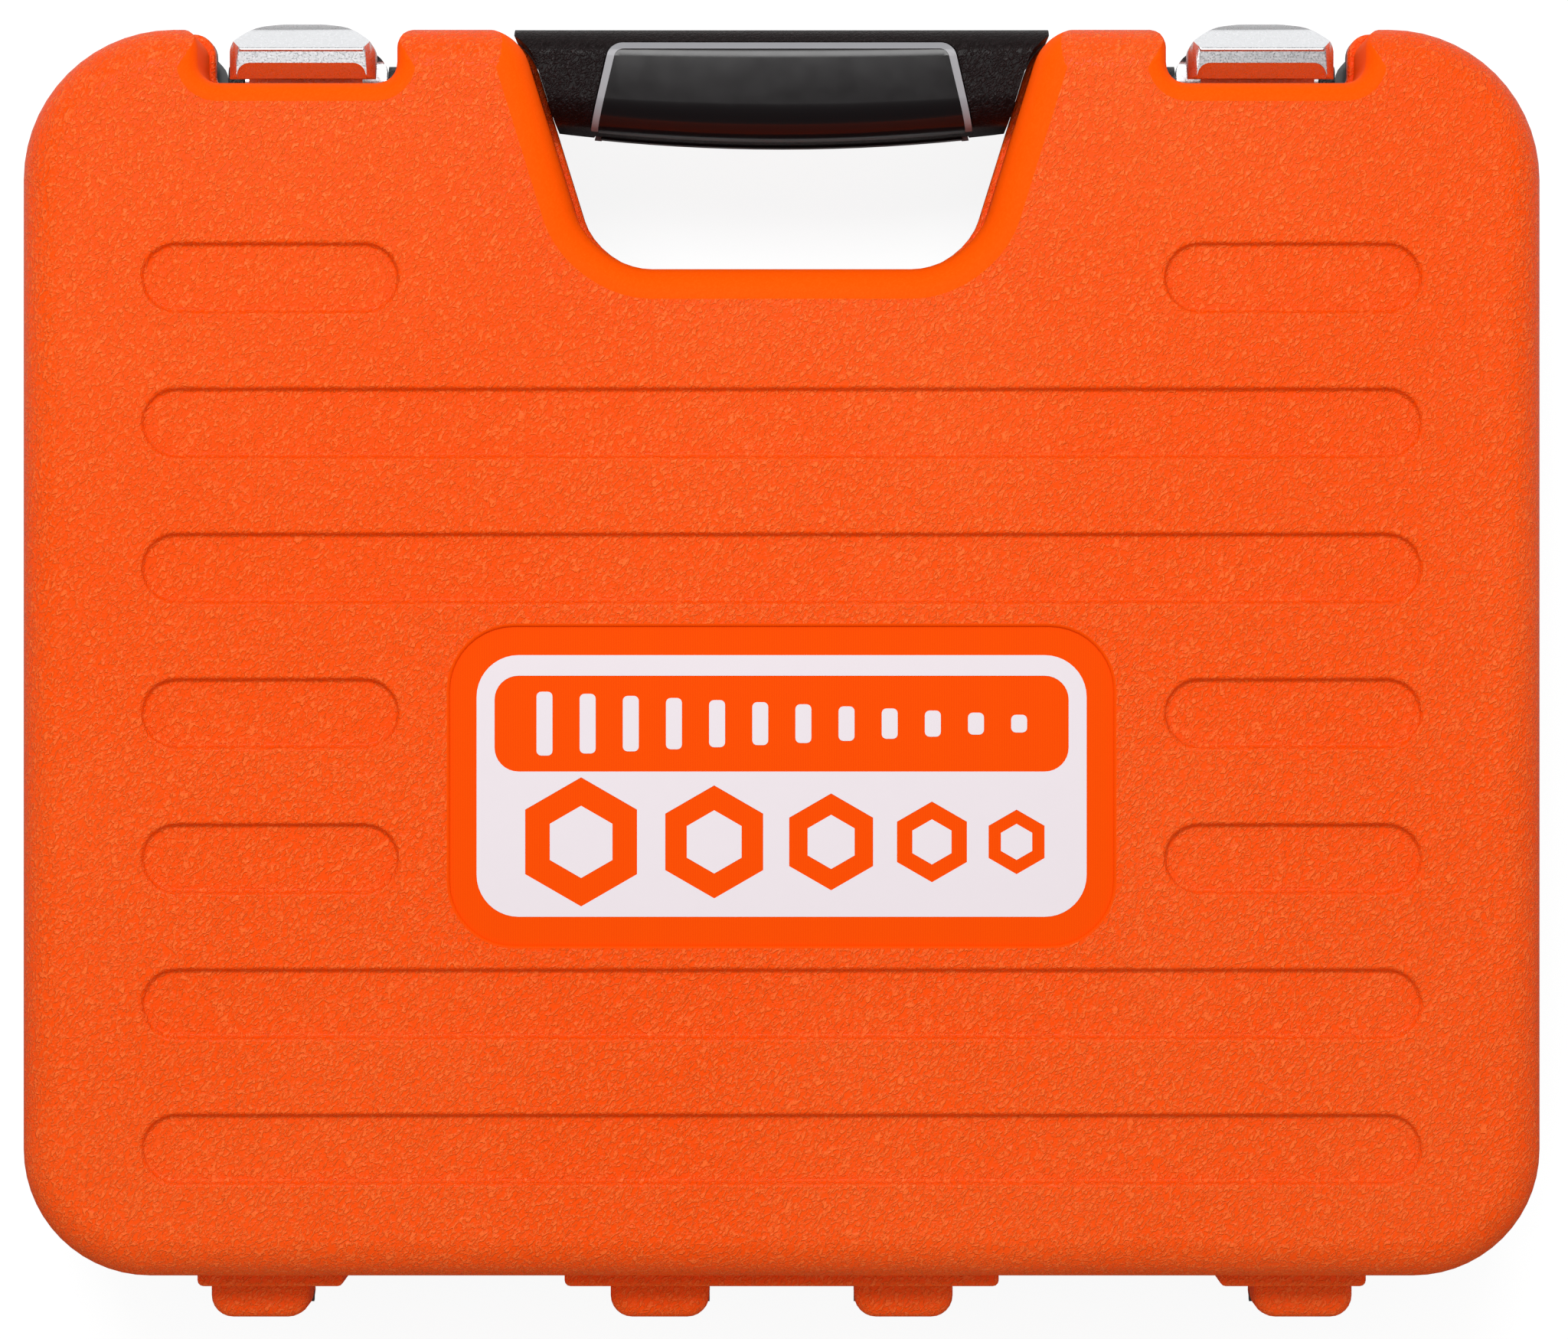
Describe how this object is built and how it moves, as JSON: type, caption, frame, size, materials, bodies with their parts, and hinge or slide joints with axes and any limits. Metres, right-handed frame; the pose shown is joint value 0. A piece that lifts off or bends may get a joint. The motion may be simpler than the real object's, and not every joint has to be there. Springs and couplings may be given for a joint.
{
  "type": "socket wrench set in case",
  "caption": "Hinged two-part carrying case with latches and a carry handle over a finger gap, holding ratchets, sockets, extension bars, a universal joint and a bit block in a fitted tray.",
  "frame": {"origin": "under the middle of the closed case's overall box, on the surface that the case lies on", "axes": "+X along the case's width, +Y from the hinge side to the carry handle, +Z out of the lid's face"},
  "size_m": [0.385, 0.3298, 0.084],
  "materials": {
    "orange_plastic": "grained blow-moulded polyethylene",
    "dark_plastic": "grained blow-moulded polyethylene",
    "black_plastic": "coarsely grained",
    "gloss_black": "polished, with a light grey edge",
    "grip_plastic": "satin two-part grip",
    "steel": "zinc plated",
    "chrome": "satin to bright chrome"
  },
  "bodies": {
    "case_base": {"base_shell": "dark_plastic", "base_tool_tray": "dark_plastic", "handle_grip": "black_plastic", "handle_insert_front": "gloss_black", "handle_insert_back": "gloss_black", "ratchet_half_grip": "grip_plastic", "ratchet_quarter_grip": "grip_plastic", "spinner_grip": "grip_plastic", "bit_block": "black_plastic", "socket_half_32mm": "chrome", "socket_half_30mm": "chrome", "socket_half_27mm": "chrome", "socket_half_24mm": "chrome", "socket_half_22mm": "chrome", "socket_half_19mm": "chrome", "socket_half_17mm": "chrome", "socket_half_15mm": "chrome", "socket_half_14mm": "chrome", "socket_half_13mm": "chrome", "socket_half_12mm": "chrome", "socket_half_10mm": "chrome", "socket_quarter_13mm": "chrome", "socket_quarter_12mm": "chrome", "socket_quarter_11mm": "chrome", "socket_quarter_10mm": "chrome", "socket_quarter_9mm": "chrome", "socket_quarter_8mm": "chrome", "socket_quarter_7mm": "chrome", "socket_quarter_6mm": "chrome", "plug_socket_21mm": "chrome", "extension_half_long": "chrome", "extension_half_short": "chrome", "extension_quarter_long": "chrome", "extension_quarter_short": "chrome", "universal_joint_socket_yoke": "chrome", "universal_joint_drive_yoke": "chrome", "spinner_shaft": "chrome", "ratchet_half_body": "chrome", "ratchet_quarter_body": "chrome", "universal_joint_cross": "steel", "ratchet_half_cover": "steel", "ratchet_quarter_cover": "steel", "hinge_pin_1": "steel", "hinge_pin_2": "steel", "hinge_pin_3": "steel", "hinge_pin_4": "steel", "latch_pin_left": "steel", "latch_pin_right": "steel", "handle_pin_left": "steel", "handle_pin_right": "steel"},
    "lid": {"lid_shell": "orange_plastic", "lid_inner_wall": "orange_plastic"},
    "latch_left_lever": {"latch_left": "chrome"},
    "latch_right_lever": {"latch_right": "chrome"},
    "half_drive_square": {"ratchet_half_drive": "chrome"},
    "half_direction_lever": {"ratchet_half_lever": "steel"},
    "half_release_button": {"ratchet_half_button": "steel"},
    "quarter_drive_square": {"ratchet_quarter_drive": "chrome"},
    "quarter_direction_lever": {"ratchet_quarter_lever": "steel"},
    "quarter_release_button": {"ratchet_quarter_button": "steel"}
  },
  "joints": [
    {"name": "lid_hinge", "type": "hinge", "parent": "case_base", "child": "lid", "pos_m": [0, -0.16105, 0.048], "axis": [1, 0, 0], "range_deg": [0, 180]},
    {"name": "latch_left_hinge", "type": "hinge", "parent": "case_base", "child": "latch_left_lever", "pos_m": [-0.1215, 0.15365, 0.0222], "axis": [-1, 0, 0], "range_deg": [0, 95]},
    {"name": "latch_right_hinge", "type": "hinge", "parent": "case_base", "child": "latch_right_lever", "pos_m": [0.1215, 0.15365, 0.0222], "axis": [-1, 0, 0], "range_deg": [0, 95]},
    {"name": "half_drive_spin", "type": "hinge", "parent": "case_base", "child": "half_drive_square", "pos_m": [0.148, -0.08505, 0.035], "axis": [0, 0, 1], "continuous": true},
    {"name": "half_lever_turn", "type": "hinge", "parent": "case_base", "child": "half_direction_lever", "pos_m": [0.148, -0.08505, 0.046], "axis": [0, 0, 1], "range_deg": [-20, 20]},
    {"name": "half_button_press", "type": "slide", "parent": "half_drive_square", "child": "half_release_button", "axis": [0, 0, -1], "range_m": [0, 0.002], "stiffness_N_per_m": 400},
    {"name": "quarter_drive_spin", "type": "hinge", "parent": "case_base", "child": "quarter_drive_square", "pos_m": [-0.162, 0.03995, 0.0375], "axis": [0, 0, 1], "continuous": true},
    {"name": "quarter_lever_turn", "type": "hinge", "parent": "case_base", "child": "quarter_direction_lever", "pos_m": [-0.162, 0.03995, 0.044], "axis": [0, 0, 1], "range_deg": [-20, 20]},
    {"name": "quarter_button_press", "type": "slide", "parent": "quarter_drive_square", "child": "quarter_release_button", "axis": [0, 0, -1], "range_m": [0, 0.0015], "stiffness_N_per_m": 300}
  ]
}
